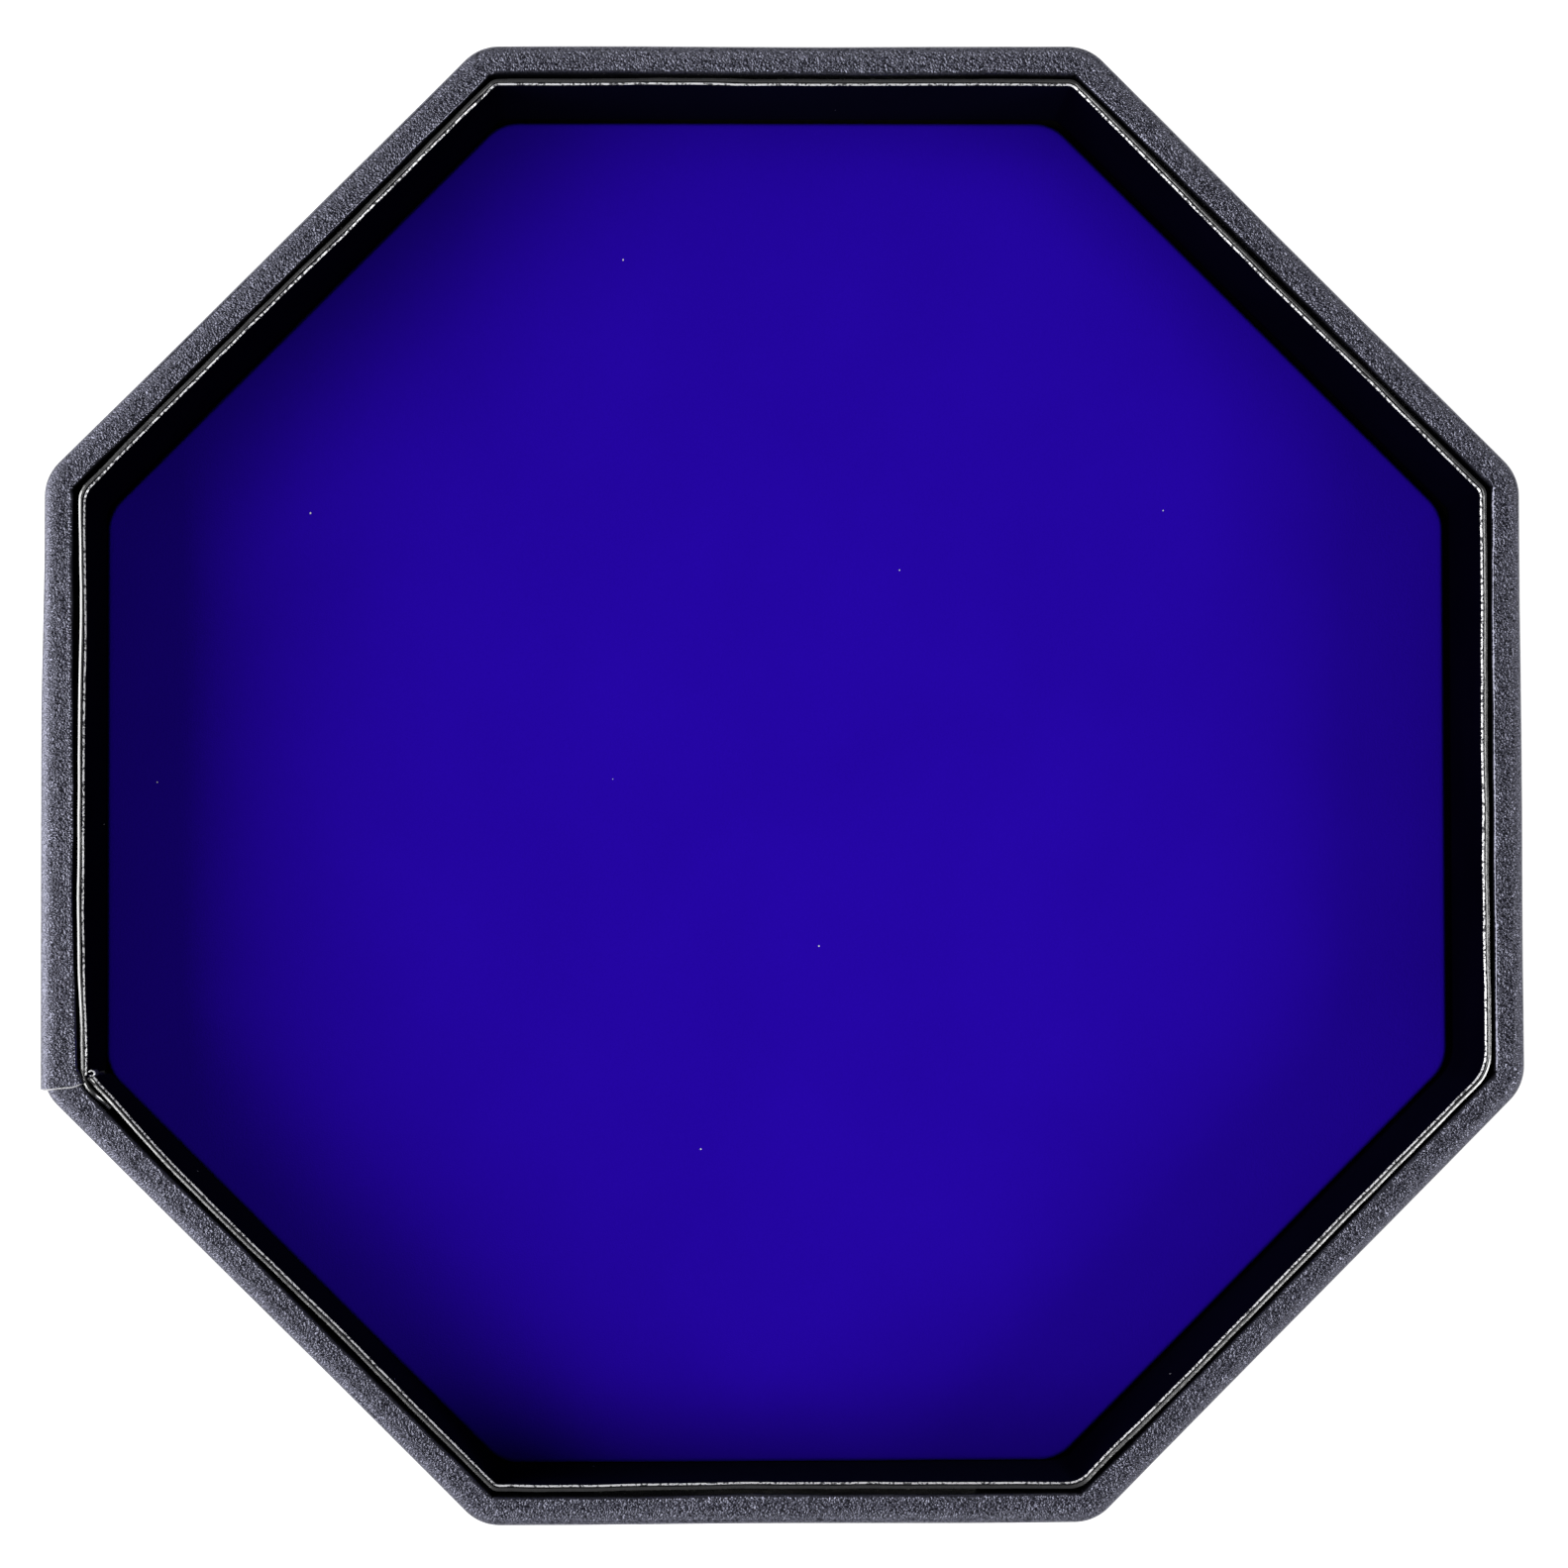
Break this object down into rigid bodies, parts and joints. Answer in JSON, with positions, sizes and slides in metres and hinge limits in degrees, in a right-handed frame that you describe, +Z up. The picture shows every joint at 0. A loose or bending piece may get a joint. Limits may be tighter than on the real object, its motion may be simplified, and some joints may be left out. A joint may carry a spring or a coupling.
{
  "type": "dice tray",
  "caption": "Octagonal dice tray: mitred boards wrapped in pebble-grained leatherette, with a dark velvet liner and a padded velvet floor.",
  "frame": {"origin": "centre of the octagon on the ground, under the middle of the tray", "axes": "+Z up out of the open tray, square to the floor; +X and +Y square to two of the eight sides"},
  "size_m": [0.305, 0.305, 0.046],
  "materials": {
    "board": "black-dyed fibreboard",
    "leatherette": "semi-gloss black pebble-grained leatherette",
    "felt": "thin black felt",
    "card": "dark grey board with a smooth cut edge",
    "dark_velvet": "short-pile near-black velvet",
    "blue_velvet": "short-pile royal-blue velvet",
    "foam": "soft off-white closed-cell foam"
  },
  "bodies": {
    "root": {"base_board": "board", "wall_board_1": "board", "wall_board_2": "board", "wall_board_3": "board", "wall_board_4": "board", "wall_board_5": "board", "wall_board_6": "board", "wall_board_7": "board", "wall_board_8": "board", "outer_wrap": "leatherette", "bottom_cover": "felt", "liner_board": "card", "liner_velvet": "dark_velvet", "liner_tape_1": "foam", "liner_tape_2": "foam", "liner_tape_3": "foam", "liner_tape_4": "foam", "liner_tape_5": "foam", "liner_tape_6": "foam", "liner_tape_7": "foam", "liner_tape_8": "foam", "floor_card": "card", "floor_foam": "foam", "floor_velvet": "blue_velvet"}
  },
  "joints": []
}
